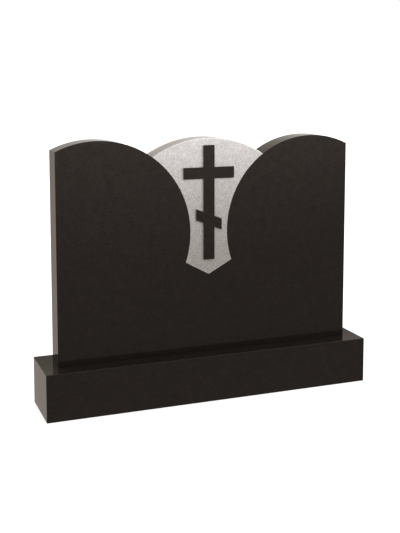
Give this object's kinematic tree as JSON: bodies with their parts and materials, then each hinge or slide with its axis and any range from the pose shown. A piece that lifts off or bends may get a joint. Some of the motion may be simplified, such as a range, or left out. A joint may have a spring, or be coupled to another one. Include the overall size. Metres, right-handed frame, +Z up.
{
  "type": "granite headstone",
  "caption": "Low, wide headstone of polished black granite on a plinth, with round shoulders, a pointed light grey insert between them and an Orthodox cross on its face.",
  "frame": {"origin": "middle of the plinth's underside, on the ground", "axes": "+X along the stone, to the right for someone who looks at the face with the cross; -Y the way that face looks; +Z up"},
  "size_m": [1.1, 0.2, 0.8503],
  "materials": {
    "black_granite": "polished",
    "grey_granite": "fine grained, honed"
  },
  "bodies": {
    "root": {"plinth": "black_granite", "slab": "black_granite", "insert": "grey_granite", "cross": "black_granite"}
  },
  "joints": []
}
